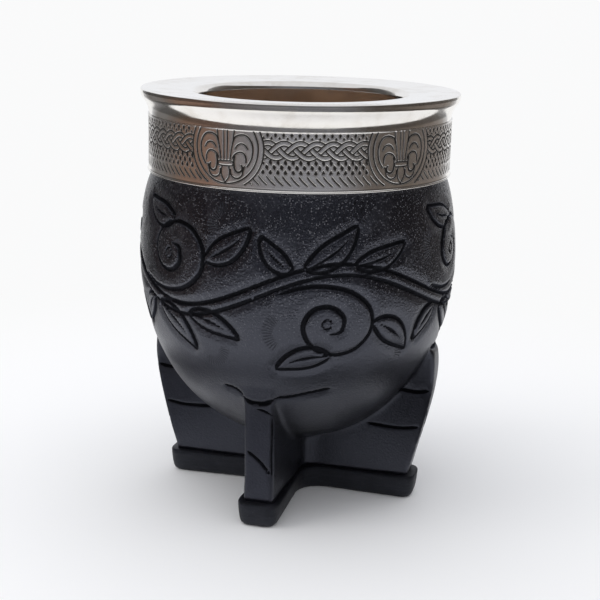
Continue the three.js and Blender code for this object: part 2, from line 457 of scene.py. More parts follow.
def calabash_finish():
    """Raw gourd, darker lower down inside."""
    material, place = new_finish("cured_calabash")
    stain, pith = cloud(place, 70.0, 6.0, 0.6), cloud(place, 620.0, 4.0)
    lower_down = ease(xyz(place)["Z"], 0.088, 0.058)
    tone = calc("ADD", lower_down * 0.55, stain * 0.55, clamp=True)
    return finished(
        material, (pith + stain, 0.5, 0.0004), Specular_IOR_Level=0.4,
        Base_Color=blend(tone, (0.6, 0.39, 0.26), (0.21, 0.135, 0.085)), Roughness=ease(stain, 0.3, 0.7, 0.55, 0.75),
    )


def one_pattern_finish(name, pattern, dark, light, rough, raised):
    """A finish whose colour, roughness and relief all follow one pattern."""
    material, place = new_finish(name)
    shade = pattern(place)
    return finished(material, (shade, *raised), Base_Color=blend(shade, dark, light), Roughness=ease(shade, *rough))


def board_fibre(place):
    return cloud(vector_calc("MULTIPLY", place, (900.0, 900.0, 160.0)), 1.0, 4.0)


def pitch_lumps(place):
    return cloud(place, 240.0, 3.0)


def thread_twist(place):
    sockets = {"Vector": place, "Scale": 420.0, "Distortion": 1.5}
    return put("ShaderNodeTexWave", sockets, bands_direction="DIAGONAL")["Fac"]


COVER_LEATHER = cover_leather_finish()
SOLE_LEATHER = sole_leather_finish()
POLISHED = polished_alpaca_finish()
ENGRAVED = engraved_alpaca_finish()
CALABASH = calabash_finish()
LEG_BOARD = one_pattern_finish("leg_board", board_fibre, (0.17, 0.11, 0.06), (0.36, 0.26, 0.16),
                               (0.2, 0.8, 0.65, 0.85), (0.3, 0.0002))
PITCH = one_pattern_finish("bedding_pitch", pitch_lumps, (0.012, 0.009, 0.007), (0.035, 0.026, 0.018),
                           (0.2, 0.8, 0.3, 0.55), (0.4, 0.0004))
THREAD = one_pattern_finish("waxed_thread", thread_twist, (0.006, 0.006, 0.007), (0.02, 0.02, 0.023),
                            (0.0, 1.0, 0.6, 0.45), (0.6, 0.0002))


# Geometry trees

HUB_R = 1.0   # the ring that a turned profile is carried round


def shape_tree(name, inputs):
    inputs = {"Geometry": "Geometry", **inputs, "Material": "Material"}
    return new_tree(name, "GeometryNodeTree", inputs, {"Geometry": "Geometry"})


def merged(shape):
    return put("GeometryNodeMergeByDistance", {"Geometry": shape, "Distance": 1e-6})


def ended(tree, given, shape):
    real = put("GeometryNodeRealizeInstances", {"Geometry": shape})
    done = put("GeometryNodeSetMaterial", {"Geometry": real, "Material": given["Material"]})
    put("NodeGroupOutput", {"Geometry": done})
    return tree


def named_value(tree, kind, name):
    return put("GeometryNodeInputNamedAttribute", {"Name": name}, tree, data_type=kind)


def turned_tree():
    """Carries a profile round the axis."""
    tree, given = shape_tree("turned_on_axis", {"Hub radius": "Float", "Steps": "Int"})
    profile = put("GeometryNodeMeshToCurve", {"Mesh": given["Geometry"]})
    path = put("GeometryNodeCurvePrimitiveCircle", {"Resolution": given["Steps"], "Radius": given["Hub radius"]})
    wall = put("GeometryNodeCurveToMesh", {"Curve": path, "Profile Curve": profile})
    return ended(tree, given, merged(wall))


def carved_tree():
    """Cuts a groove along every line point, presses down one side of it and keeps how far each line is."""
    tree, given = shape_tree("carved_lines", {"Lines": "Object", "Repeats": "Int", "Start": "Float",
                                              "Pitch": "Float", "Bevel reach": "Float"})
    one = put("GeometryNodeObjectInfo", {"Object": given["Lines"]})["Geometry"]
    first = put("ShaderNodeCombineXYZ", {"X": given["Start"]})
    apart = put("ShaderNodeCombineXYZ", {"X": given["Pitch"]})
    row = put("GeometryNodeMeshLine",
              {"Count": given["Repeats"], "Start Location": first, "Offset": apart}, mode="OFFSET")
    copies = put("GeometryNodeInstanceOnPoints", {"Points": row, "Instance": one})
    lines = put("GeometryNodeRealizeInstances", {"Geometry": copies})
    here = put("GeometryNodeInputPosition", tree=tree)
    nearest = put("GeometryNodeSampleNearest", {"Geometry": lines}, domain="POINT")

    def from_line(kind, value):
        sockets = {"Geometry": lines, "Index": nearest, "Value": value}
        return put("GeometryNodeSampleIndex", sockets, data_type=kind, domain="POINT")

    half, deep, bevel = (from_line("FLOAT", named_value(tree, "FLOAT", name))
                         for name in ("half_width", "depth", "bevel"))
    side = from_line("FLOAT_VECTOR", named_value(tree, "FLOAT_VECTOR", "side"))
    away = vector_calc("SUBTRACT", here, from_line("FLOAT_VECTOR", here))
    gap = vector_calc("LENGTH", away)
    shares = gap / half
    groove = ease(shares, 0.0, 1.0, 1.0, 0.0) * deep
    aside = vector_calc("DOT_PRODUCT", away, side) / half
    fall = ease(gap / given["Bevel reach"], 0.0, 1.0, 1.0, 0.0)
    depth = calc("MAXIMUM", groove, fall * ease(aside, -0.6, 0.6) * bevel)
    kept = put("GeometryNodeStoreNamedAttribute",
               {"Geometry": given["Geometry"], "Name": "line_gap", "Value": calc("MINIMUM", shares, 6.0)},
               data_type="FLOAT", domain="POINT")
    normal = put("GeometryNodeInputNormal", tree=tree)
    sunk = put("ShaderNodeVectorMath", {0: normal, "Scale": depth * -1.0}, operation="SCALE")["Vector"]
    return ended(tree, given, put("GeometryNodeSetPosition", {"Geometry": kept, "Offset": sunk}))


def bent_tree():
    """Bends a flat strip, outside up, round the axis."""
    tree, given = shape_tree("bent_round", {"Radius": "Float"})
    flat = xyz(put("GeometryNodeInputPosition", tree=tree))
    turn, out = flat["X"] / given["Radius"], flat["Z"] + given["Radius"]
    place = put("ShaderNodeCombineXYZ", {
        "X": out * calc("SINE", turn), "Y": out * calc("COSINE", turn) * -1.0, "Z": flat["Y"],
    })
    moved = put("GeometryNodeSetPosition", {"Geometry": given["Geometry"], "Position": place})
    return ended(tree, given, merged(moved))


def stitched_tree():
    """Puts a short pull of thread on every point, along its own direction."""
    tree, given = shape_tree("stitched_seam", {"Stitch size": "Vector"})
    pull = put("GeometryNodeMeshIcoSphere", {"Radius": 0.5, "Subdivisions": 2}, tree)
    sized = put("GeometryNodeTransform", {"Geometry": pull, "Scale": given["Stitch size"]})
    along, out = (named_value(tree, "FLOAT_VECTOR", name) for name in ("along", "out"))
    lying = put("FunctionNodeAlignRotationToVector", {"Vector": along}, axis="X")
    upright = put("FunctionNodeAlignRotationToVector", {"Rotation": lying, "Vector": out}, axis="Z", pivot_axis="X")
    points = put("GeometryNodeMeshToPoints", {"Mesh": given["Geometry"]})
    copies = put("GeometryNodeInstanceOnPoints", {"Points": points, "Instance": sized, "Rotation": upright})
    return ended(tree, given, copies)


TURNED = turned_tree()
CARVED = carved_tree()
BENT = bent_tree()
STITCHED = stitched_tree()


# Rim: top ring, throat, collar and bead, turned from profiles of (radius, height)

def turned_piece(name, profile, steps, material):
    count = len(profile)
    points = points_of(profile[:, 0] - HUB_R, -profile[:, 1], 0) * MM
    obj = mesh_piece(name, points, [], [(i, (i + 1) % count) for i in range(count)])
    make_with(obj, TURNED, {"Hub radius": HUB_R * MM, "Steps": steps, "Material": material})
    return close_up(obj, crease=40)


def top_ring():
    """Dished, rolled down into the mouth and rounded at the outer edge."""
    edge = 0.4
    share = np.linspace(0, 1, 24)
    start, end = MOUTH_R + LIP_ROUND, RIM_R - edge
    top = points_of(start + (end - start) * share, LIP_TOP + (RIM_TOP - LIP_TOP) * share ** 1.5)
    under = top[::-1] - [0, SHEET]
    under[0] = [RIM_R, RIM_TOP - SHEET]
    profile = np.vstack([
        arc((start, LIP_END), LIP_ROUND, 180, 90, 14)[:-1], top[:-1],
        arc((end, RIM_TOP - edge), edge, 90, 0, 8), under[:-1],
        arc((start, LIP_END), LIP_ROUND - SHEET, 90, 180, 10),
    ])
    return turned_piece("mouth_ring_turned", profile, 256, POLISHED)


def collar():
    """The wall leans out more and more, then stands up again under the rim's edge."""
    foot_inset, rim_inset = 0.2, 0.02
    up = np.linspace(0, 1, 61)
    heights = (0, 0.14, 0.22, 0.3, 0.45, 0.58, 0.72, 0.79, 0.85, 1)
    degrees = (3, 6, 8.5, 12.5, 19, 24.5, 27, 20, 6, 4)
    slope = np.tan(np.radians(np.interp(up, heights, degrees)))
    out = running((slope[1:] + slope[:-1]) / 2)
    reach = RIM_R - rim_inset - BAND_R + foot_inset
    side = points_of(BAND_R - foot_inset + reach * out / out[-1], BAND_TOP + (RIM_TOP - SHEET - BAND_TOP) * up)[::2]
    inside = side[::-1] - [SHEET, 0]
    return turned_piece("flare_collar_turned", np.vstack([side, inside]), 256, POLISHED)


def throat():
    straight = 4
    roll = arc((THROAT_R - SHEET / 2, throat_low[2] + SHEET / 2), SHEET / 2, 180, 360, 9)
    profile = np.vstack([[[MOUTH_R, LIP_END], [MOUTH_R, LIP_END - straight]], roll, [[THROAT_R, LIP_END]]])
    return turned_piece("throat_sleeve_turned", profile, 192, POLISHED)


def bead():
    """A rolled lower edge with a hollow above it."""
    roll = 0.24
    inner = BAND_R - SHEET
    edge = arc((bead_high[0] - roll, BEAD_FOOT + roll), roll, -90, 75, 12)
    hollow = curve(edge[-1], (BAND_R - 0.02, BEAD_FOOT + 0.62), (BAND_R, BAND_FOOT - 0.15), steps=7)[1:]
    profile = np.vstack([[[inner, BEAD_FOOT]], edge, hollow, [[BAND_R, BAND_FOOT], [inner, BAND_FOOT]]])
    return turned_piece("lower_bead_turned", profile, 256, POLISHED)


hand_over(top_ring(), "mouth_ring")
hand_over(collar(), "flare_collar")
hand_over(throat(), "throat_sleeve")
hand_over(bead(), "lower_bead")


# Gourd, and the body's side that it shares with the leather, as points of (radius, height)

def round_side(inset, bend, neck, low_steps, high_steps):
    """Round below the belly, drawn in above it through a bend to the neck, then straight up."""
    turn = np.radians(np.linspace(-90, 0, low_steps))
    radius = BELLY_R - inset
    low = points_of(radius * np.cos(turn), BELLY_Z + (BELLY_Z - BODY_BOTTOM - inset) * np.sin(turn))
    high = curve((radius, BELLY_Z), (radius, BELLY_Z + BELLY_UPRIGHT), bend, neck, steps=high_steps)
    return np.vstack([low, high[1:], [[neck[0], BAND_TOP]]])


def body_side(inset):
    neck = NECK_R - inset
    return round_side(inset, (neck + 1.7, BEAD_FOOT - 3), (neck, BEAD_FOOT), 220, 80)


def gourd():
    bore, bend_below = THROAT_R + WALL_GAP, 12
    outside = body_side(WRAP)[::4]
    outside[-1, 1] = BAND_TOP
    inside = round_side(WRAP + GOURD_WALL, (bore, throat_low[2] - bend_below), (bore, throat_low[2]), 48, 24)
    profile = np.vstack([outside, inside[::-1]])
    profile[:, 0] = np.maximum(profile[:, 0], 0)
    return turned_piece("gourd_shell_turned", profile, 128, CALABASH)


hand_over(gourd(), "gourd_shell")


# Drawn lines

class LineSet:
    """Points along drawn lines, each with its groove's half width and depth and the side that is pressed down."""

    def __init__(self):
        self.runs = []

    def add(self, points, half, depth, bevel=0.0, side=(0, 0, 0)):
        count = len(points)
        self.runs.append((points, *(np.broadcast_to(v, count) for v in (half, depth, bevel)),
                          np.broadcast_to(side, (count, 3))))

    def as_object(self, name):
        points, half, depth, bevel, side = map(np.concatenate, zip(*self.runs))
        obj = mesh_piece(name, points * MM, [])
        keep_values(obj, "FLOAT", half_width=half * MM, depth=depth * MM, bevel=bevel * MM)
        keep_values(obj, "FLOAT_VECTOR", side=side)
        return obj


def carve(obj, lines, material, bevel_reach, repeats=1, start=0.0, pitch=0.0):
    make_with(obj, CARVED, {"Lines": lines, "Repeats": repeats, "Start": start * MM, "Pitch": pitch * MM,
                            "Bevel reach": bevel_reach * MM, "Material": material})
    bpy.data.objects.remove(lines)


def tapered(count, half, share):
    """A line's half width, thinning at both ends over a share of its length."""
    t = np.linspace(0, 1, count)
    return half * (0.25 + 0.75 * np.clip(np.minimum(t, 1 - t) / share, 0, 1) ** 0.7)


# Engraved band: a rolled ribbon cut to length and joined at the back. One repeat is drawn flat, x along the
# band from the medallion's middle and y down from the band's top edge.

MEDALLION_TURN = -11.05
REPEAT = math.radians(64.6) * BAND_R
MEDALLION_DROP = 4.8
MEDALLION_R = 9.95
MEDALLION_EDGE = MEDALLION_R + 0.3
LILY_DROP = 0.5
LINE_STEP = 0.1
PLAIN_EDGES = (0.4, 13.4)     # the pattern stays between these

# The lily's right half: each run's points and its line's half width
LILY = [
    ([(2.35, -0.15), (2.0, 2.5), (1.6, 4.6), (1.3, 6.9)], 0.24),
    ([(0.5, -0.15), (0.48, 3.4), (0.42, 6.9)], 0.2),
    ([(0.0, 7.3), (1.1, 7.3), (1.85, 7.35)], 0.22),
    ([(0.0, 8.5), (1.1, 8.5), (1.85, 8.45)], 0.22),
    ([(1.85, 7.35), (2.05, 7.9), (1.85, 8.45)], 0.2),
    ([(0.95, 8.7), (1.15, 9.9), (0.95, 11.2), (0.0, 12.6)], 0.24),
    ([(2.05, 2.6), (2.6, 1.4), (4.1, 0.8), (5.5, 1.0), (6.5, 1.9), (7.1, 3.3), (7.2, 4.8), (6.95, 6.3),
      (6.4, 7.5), (5.75, 8.4)], 0.28),
    ([(2.7, 4.1), (3.3, 3.3), (4.2, 2.95), (5.2, 3.25), (5.9, 4.2)], 0.26),
    ([(1.95, 6.6), (2.3, 5.9), (3.1, 5.25), (4.1, 5.0), (4.95, 5.35), (5.45, 6.3), (5.5, 7.4)], 0.28),
    ([(2.5, 6.2), (2.3, 7.2), (2.35, 8.3), (2.55, 9.2), (3.05, 9.8), (3.75, 9.85), (4.4, 9.4), (4.55, 8.7),
      (4.3, 8.2)], 0.36),
    ([(5.1, 8.4), (4.75, 9.5), (4.5, 10.5), (3.75, 11.25), (2.75, 11.4), (1.85, 11.0), (1.45, 10.2),
      (1.4, 9.3)], 0.28),
]
LILY_FINER = 0.76


def band_repeat():
    drawn = LineSet()
    end = REPEAT / 2

    def draw(points, half, depth, inside=False):
        x, y = points.T
        reach = np.hypot(x, y - MEDALLION_DROP)
        fits = (y > PLAIN_EDGES[0]) & (y < PLAIN_EDGES[1]) & (np.abs(x) <= end + 0.01)
        fits &= (reach < MEDALLION_EDGE) if inside else (reach > MEDALLION_EDGE)
        flat = points_of(x, BAND_TOP - y, 0)
        drawn.add(flat[fits], np.broadcast_to(half, len(x))[fits], depth)

    def along(spacing, shift):
        """Places a spacing apart, counted from the middle between two medallions."""
        steps = np.arange(0, end, spacing)
        return np.concatenate([end - (steps + shift * spacing), -end + steps + (1 - shift) % 1 * spacing])

    def diamonds(shift, middle, tall=0.72, wide=0.5, lean=0.22):
        ys = np.linspace(middle - tall, middle + tall, 13)
        for x in along(1.83, shift):
            draw(points_of(x + lean * (ys - middle), ys), 0.07 + wide * (1 - np.abs(ys - middle) / tall), 0.24)

    def darts(spacing, shift, top, tall, wide):
        ys = np.linspace(top, top + tall, 10)
        share = np.abs(ys - top) / abs(tall)
        for x in along(spacing, shift):
            draw(points_of(x, ys), 0.06 + wide * (1 - share), 0.22)

    # Border rows of small darts and lattice diamonds
    darts(1.95, 0.15, 0.88, 0.65, 0.38)
    darts(1.95, 0.65, 1.75, -0.5, 0.26)
    diamonds(0.1, 7.45)
    diamonds(0.6, 8.66)
    darts(1.83, 0.1, 9.95, -0.75, 0.46)

    # Slanted strokes
    slant = np.array([(-1.2, 10.6), (-1.0, 11.05), (-0.35, 11.85), (0.5, 12.65), (1.2, 13.2)])
    for x in along(1.98, 0.55):
        stroke = flowing(slant + [x, 0], LINE_STEP)
        draw(stroke, tapered(len(stroke), 0.19, 0.15), 0.18)

    # Plait of three strands; a rising strand is on top in the upper half, a falling one in the lower
    wave = 3 * 3.96
    middle, swing, strand = 4.66, 1.78, 0.58

    def sway(x, k):
        return -np.cos(2 * np.pi * ((x - np.sign(x) * end) / wave - k / 3))

    for half_run in (np.arange(-end, -2, 0.05), np.arange(2, end, 0.05)):
        for k in range(3):
            line = middle + swing * sway(half_run, k)
            slope = np.gradient(line, half_run)
            length = np.hypot(1, slope)
            for edge in (-1, 1):
                px = half_run - edge * strand * slope / length
                py = line + edge * strand / length
                shown = np.ones(len(px), bool)
                for other in {0, 1, 2} - {k}:
                    o_slope = swing * (sway(px + 0.02, other) - sway(px - 0.02, other)) / 0.04
                    near = np.abs(py - middle - swing * sway(px, other)) / np.hypot(1, o_slope) < strand - 0.02
                    shown &= ~(near & np.where(py < middle, o_slope < 0, o_slope > 0))
                draw(points_of(px, py)[shown], 0.19, 0.22)

    # Medallion: a double ring and a lily
    for ring in (MEDALLION_R, MEDALLION_R - 1.4):
        turn = np.arange(0, 2 * np.pi, LINE_STEP / ring)
        draw(points_of(ring * np.sin(turn), MEDALLION_DROP - ring * np.cos(turn)), 0.2, 0.22, inside=True)
    for run, half in LILY:
        for flip in (1, -1):
            draw(flowing(run, LINE_STEP) * [flip, 1] + [0, LILY_DROP], half * LILY_FINER, 0.24, inside=True)
    return drawn.as_object("band_repeat_lines")


def engraved_band():
    columns, rows, join_depth = 1400, 68, 0.16
    ridge_high, ridge_half, ridge_below_top = 0.15, 0.24, 0.1
    around = 2 * math.pi * BAND_R
    across = np.linspace(BAND_FOOT, BAND_TOP, rows)
    ridge = np.clip(1 - np.abs(across - (BAND_TOP - ridge_below_top)) / ridge_half, 0, 1) ** 0.6
    section = np.vstack([points_of(across, ridge_high * ridge), [[BAND_TOP, -SHEET], [BAND_FOOT, -SHEET]]])
    points = np.empty((columns + 1, len(section), 3))
    points[:, :, 0] = np.linspace(-around / 2, around / 2, columns + 1)[:, None]
    points[:, :, 1:] = section[None]
    points[[0, -1], :rows, 2] -= join_depth
    index = np.arange(points.size // 3).reshape(points.shape[:2])
    obj = mesh_piece("engraved_band_chased", points.reshape(-1, 3) * MM, quads(index.T, joined=(0,)))
    first = math.radians(MEDALLION_TURN) * BAND_R - 3 * REPEAT
    carve(obj, band_repeat(), ENGRAVED, 0.5, repeats=7, start=first, pitch=REPEAT)
    make_with(obj, BENT, {"Radius": BAND_R * MM, "Material": ENGRAVED})
    return close_up(obj, crease=60, merge=1e-7)


hand_over(engraved_band(), "engraved_band")


# Leather cover: level outlines of the round body and the four legs, lofted into one skin

COLUMNS = 480
EIGHTH = COLUMNS // 8    # columns from a leg's middle to the middle of the gap beside it
AROUND = 273.0           # length that the drawn pattern takes for once round
FINE_TURN = np.radians(np.linspace(-45, 45, 1801))


def leg_reach_tables(inset):
    """How far out a leg's end face stands by height: straight legs, then flared ones."""
    straight = np.array([[STRAIGHT_FOOT_R, SOLE_TOP], [STRAIGHT_FOOT_R, STRAIGHT_TOP]])
    flared = np.vstack([
        curve((SIDE_FOOT_R, SOLE_TOP), (LEG_SHOULDER_R, LEG_BEND_Z), (LEG_SHOULDER_R, LEG_SHOULDER_Z), steps=60),
        curve((LEG_SHOULDER_R, LEG_SHOULDER_Z), (LEG_SHOULDER_R, LEG_TOP),
              (np.interp(LEG_TOP, *body_side(0)[:, ::-1].T), LEG_TOP), steps=30)[1:],
    ])
    return straight - [inset, 0], flared - [inset, 0]


def soft_max(a, b, reach):
    meet = np.maximum(reach - np.abs(a - b), 0) / reach
    return np.maximum(a, b) + meet ** 2 * reach / 4


def level_outline(z, inset, body, reach_tables, soft):
    """One level's outline from the front leg's middle round to the right, with the same count of points
    between each leg's middle and the middle of the gap beside it."""
    crotch_round, body_round = 7.0, 3.0
    half = LEG_HALF - inset
    radius = np.interp(z, body[:, 1], body[:, 0], left=0.0)
    sine, cosine = np.maximum(np.abs(np.sin(FINE_TURN)), 1e-6), np.cos(FINE_TURN)
    quarters = []
    for k in range(4):
        table = reach_tables[k % 2]
        reach = np.interp(z, table[:, 1], table[:, 0], right=0.0)
        arm = np.minimum(reach / cosine, half / sine)
        legs = soft_max(arm, half / cosine, crotch_round)
        out = soft_max(legs, np.full_like(legs, radius), body_round)[:-1]
        turns = FINE_TURN[:-1] + k * math.pi / 2
        quarters.append(points_of(out * np.sin(turns), -out * np.cos(turns)))
    ring = np.roll(np.vstack(quarters), -900, axis=0)
    ring = np.vstack([ring, ring[:1]])
    run = run_along(ring)
    fine = COLUMNS * 6
    at = np.linspace(0, run[-1], fine, endpoint=False)
    even = softened(np.interp(at, run, ring[:, 0]) + 1j * np.interp(at, run, ring[:, 1]), run[-1] / fine, soft)
    even = np.append(even, even[0])
    run = running(np.abs(np.diff(even)))
    turn = np.unwrap(np.angle(even * 1j))
    stations = np.interp(turn[0] + np.arange(9) * math.pi / 4, turn, run)
    at = np.concatenate([np.linspace(a, b, EIGHTH, endpoint=False) for a, b in zip(stations, stations[1:])])
    return points_of(np.interp(at, run, even.real), np.interp(at, run, even.imag))


def cover_levels():
    """Heights of the skin's rows: close together where it shows."""
    hidden_r, low_z, low_step, fine_step = 7.0, 24, 0.8, 0.53
    body = body_side(0)
    run = run_along(body)

    def between(low, high, step):
        start, end = np.interp([low, high], body[:, 1], run)
        count = int(round((end - start) / step))
        return np.interp(np.linspace(start, end, count, endpoint=False), run, body[:, 1])

    first = np.interp(hidden_r, body[:120, 0], body[:120, 1])
    return np.concatenate([
        np.linspace(SOLE_TOP, first, 9, endpoint=False), between(first, low_z, low_step),
        between(low_z, BEAD_FOOT, fine_step), np.linspace(BEAD_FOOT, BAND_TOP, 5),
    ])


def uneven(points, size, amount):
    """How far hand work leaves each point from true."""
    return np.array([noise.noise(Vector(p) / size) for p in points]) * amount


class CoverSkin:
    """The outer skin's rows and columns, with places on it found by the drawn pattern's x and height."""

    def __init__(self):
        self.levels = cover_levels()
        body, reach = body_side(0), leg_reach_tables(0)
        rows = np.array([level_outline(z, 0, body, reach, 0.7) for z in self.levels])
        for _ in range(2):
            rows[1:-1] = 0.25 * rows[:-2] + 0.5 * rows[1:-1] + 0.25 * rows[2:]
        self.grid = np.dstack([rows, np.broadcast_to(self.levels[:, None], rows.shape[:2])])
        flat = self.grid.reshape(-1, 3)
        wobble = uneven(flat, 34.0, 0.5) + uneven(flat + 70, 11.0, 0.12)
        fade = np.clip((BEAD_FOOT - 1 - flat[:, 2]) / 8, 0, 1) * np.clip((flat[:, 2] - SOLE_TOP) / 6, 0, 1)
        flat[:, :2] += unit(flat[:, :2]) * (wobble * fade)[:, None]

    def leg_spot(self, leg, out, z):
        """The drawn x of a place so many millimetres from a leg's middle along the skin."""
        row = self.grid[int(np.argmin(np.abs(self.levels - z)))]
        start = (leg * 2 if out > 0 else leg * 2 - 1) * EIGHTH
        part = row[np.arange(start, start + EIGHTH + 1) % COLUMNS]
        return leg * AROUND / 4 + out / run_along(part)[-1] * AROUND / 8

    def at(self, x, z):
        column = np.mod(np.asarray(x, float) / AROUND, 1.0) * COLUMNS
        row = np.interp(z, self.levels, np.arange(len(self.levels)))
        c0 = np.floor(column).astype(int) % COLUMNS
        r0 = np.minimum(np.floor(row).astype(int), len(self.levels) - 2)
        c1 = (c0 + 1) % COLUMNS
        u, v = (column - np.floor(column))[:, None], (row - r0)[:, None]
        g = self.grid
        return ((1 - u) * (1 - v) * g[r0, c0] + u * (1 - v) * g[r0, c1]
                + (1 - u) * v * g[r0 + 1, c0] + u * v * g[r0 + 1, c1])


# Tooling on the leather, drawn as x round the body and height: a vine whose stem rises and falls six times

HALF_WAVE = AROUND / 6
STEM_Z, STEM_SWING, STEM_HALF = 64.5, 6.6, 1.35
WAVES = [(i * HALF_WAVE, 1 if i % 2 == 0 else -1) for i in range(6)]

# One half wave's scroll and leaves, from the stem's level: leaves as base, tip, bow and width
SCROLL = [(6.5, 0.2), (13, 2.2), (20, 2.3), (26.5, 0.4), (31.2, -4.0), (31.6, -9.8), (27.6, -14.4), (21.2, -15.6),
          (15.6, -13), (13.4, -8), (15.6, -3.8), (20.2, -2.8), (23.8, -5.4), (23.4, -9.2), (20.2, -10)]
SCROLL_EYE, SCROLL_EYE_R = (19.6, -7.2), 1.25
LEAVES = [((32.4, -7.5), (45.0, -16.5), 2.4, 6.4), ((21.0, -16.2), (6.0, -20.0), -2.8, 5.8),
          ((13.5, 6.9), (27.5, 17.5), -3.0, 6.4), ((26.5, 7.7), (42.0, 12.5), -2.6, 5.4),
          ((10.5, 6.0), (2.0, 14.8), 2.2, 5.0)]

# Creases on the legs: millimetres from the leg's middle, and height
FOLD_OVER_LEG = {1: [(4.4, 35.4), (8.0, 36.0), (13.0, 37.4), (19.0, 38.8)],
                 -1: [(4.4, 35.4), (6.5, 37.2), (9.5, 37.8)]}
HIGH_CREASE = [(4.2, 31.6), (8.0, 31.0), (13.5, 31.6)]
LOW_CREASE = [(4.2, 21.0), (10.0, 20.2), (19.0, 20.6)]


def tooled_lines(skin):
    drawn = LineSet()

    def cut(line, half=0.75, depth=0.75, bevel=0.0, press=1, share=0.12):
        line = even_steps(line, 0.22)
        over = left_of(line) * press * 0.4
        place = skin.at(*line.T)
        side = unit(skin.at(*(line + over).T) - place)
        width = tapered(len(line), half, share)
        drawn.add(place, width, depth * width / half, bevel * width / half, side)

    def leaf(base, tip, bow, wide):
        base, tip = np.asarray(base, float), np.asarray(tip, float)
        run = tip - base
        across = np.array([-run[1], run[0]]) / np.linalg.norm(run)
        spine = curve(base, (base + tip) / 2 + across * bow, tip, steps=60)
        belly = wide / 2 * np.sin(np.pi * np.linspace(0, 1, 60) ** 0.8) ** 0.85
        for edge in (1, -1):
            cut(spine + left_of(spine) * (belly * edge)[:, None], 0.72, 0.72, 0.5, edge, 0.06)
        cut(spine[4:46], 0.55, 0.5, share=0.5)

    stem_x = np.arange(0, AROUND, 0.5)
    stem = points_of(stem_x, STEM_Z + STEM_SWING * np.sin(np.pi * stem_x / HALF_WAVE))
    for edge in (1, -1):
        line = stem + left_of(stem) * STEM_HALF * edge
        cut(np.vstack([line, line[:1] + [AROUND, 0]]), 0.72, 0.72, 0.45, edge, 0.0001)

    for start, lift in WAVES:
        def at(place):
            return start + place[0], STEM_Z + lift * place[1]

        cut(flowing([at(p) for p in SCROLL]), 0.8, 0.78, 0.5, lift, 0.05)
        cut(arc(at(SCROLL_EYE), SCROLL_EYE_R, 0, 360, 40), 0.4, 0.4, share=0.001)
        for base, tip, bow, wide in LEAVES:
            leaf(at(base), at(tip), bow * lift, wide)

    for leg in range(4):
        def on_leg(points, edge=1):
            return flowing([(skin.leg_spot(leg, edge * out, z), z) for out, z in points])

        if leg % 2 == 0:
            for edge in (1, -1):
                cut(on_leg(FOLD_OVER_LEG[edge], edge), 0.8, 0.8, 0.35, -edge)
            cut(on_leg([(-4.4, 35.2), (-2.0, 33.8), (1.5, 33.8), (4.4, 35.3)]), 0.9, 0.8, share=0.2)
            cut(on_leg([(-0.9, 32.2), (1.6, 31.7), (3.9, 30.6)]), 0.5, 0.5, share=0.4)
            cut(on_leg([(-3.2, 20.4), (0.6, 17.4), (3.4, 13.8)]), 0.6, 0.5)
            cut(on_leg([(3.7, 30.4), (3.6, 22.0), (3.6, 13.2)]), 0.4, 0.3)
        else:
            for edge in (1, -1):
                cut(on_leg(HIGH_CREASE, edge), 0.7, 0.65, 0.3, edge)
                cut(on_leg(LOW_CREASE, edge), 0.6, 0.5)
            middle = leg * AROUND / 4
            cut(curve((middle - 4.8, 44.4), (middle, 42.8), (middle + 4.8, 44.4), steps=24), 0.9, 0.6)
            cut(curve((middle - 3.4, 26.0), (middle, 23.0), (middle + 3.4, 18.0), steps=24), 0.6, 0.5)
    return drawn.as_object("tooled_lines")


def veiner_marks(x, z):
    """Fans of fine strokes pressed beside the leaves: how far round each fan a place is, and where it shows."""
    stroke_half, fan_half, stroke_turn = 1.5, 62, 8.5
    count, mask = np.zeros(x.shape), np.zeros(x.shape)
    fans = []
    for start, lift in WAVES:
        fans += [(start + 38.5, STEM_Z - lift * 16.5, 4.2, 90 - lift * 60),
                 (start + 9.0, STEM_Z - lift * 9.5, 4.8, 180),
                 (start + 33.0, STEM_Z + lift * 15.0, 4.4, 90 * lift + 30)]
    for fan_x, fan_z, radius, facing in fans:
        dx = np.mod(x - fan_x + AROUND / 2, AROUND) - AROUND / 2
        dz = z - fan_z
        out = np.hypot(dx, dz)
        turn = np.mod(np.degrees(np.arctan2(dz, dx)) - facing + 180, 360) - 180
        near = out < radius + 4
        in_ring = np.clip((stroke_half - np.abs(out - radius)) / 0.5, 0, 1)
        in_fan = np.clip((fan_half - np.abs(turn)) / 12, 0, 1)
        count[near] = (turn / stroke_turn)[near]
        mask = np.maximum(mask, in_ring * in_fan)
    return count, mask


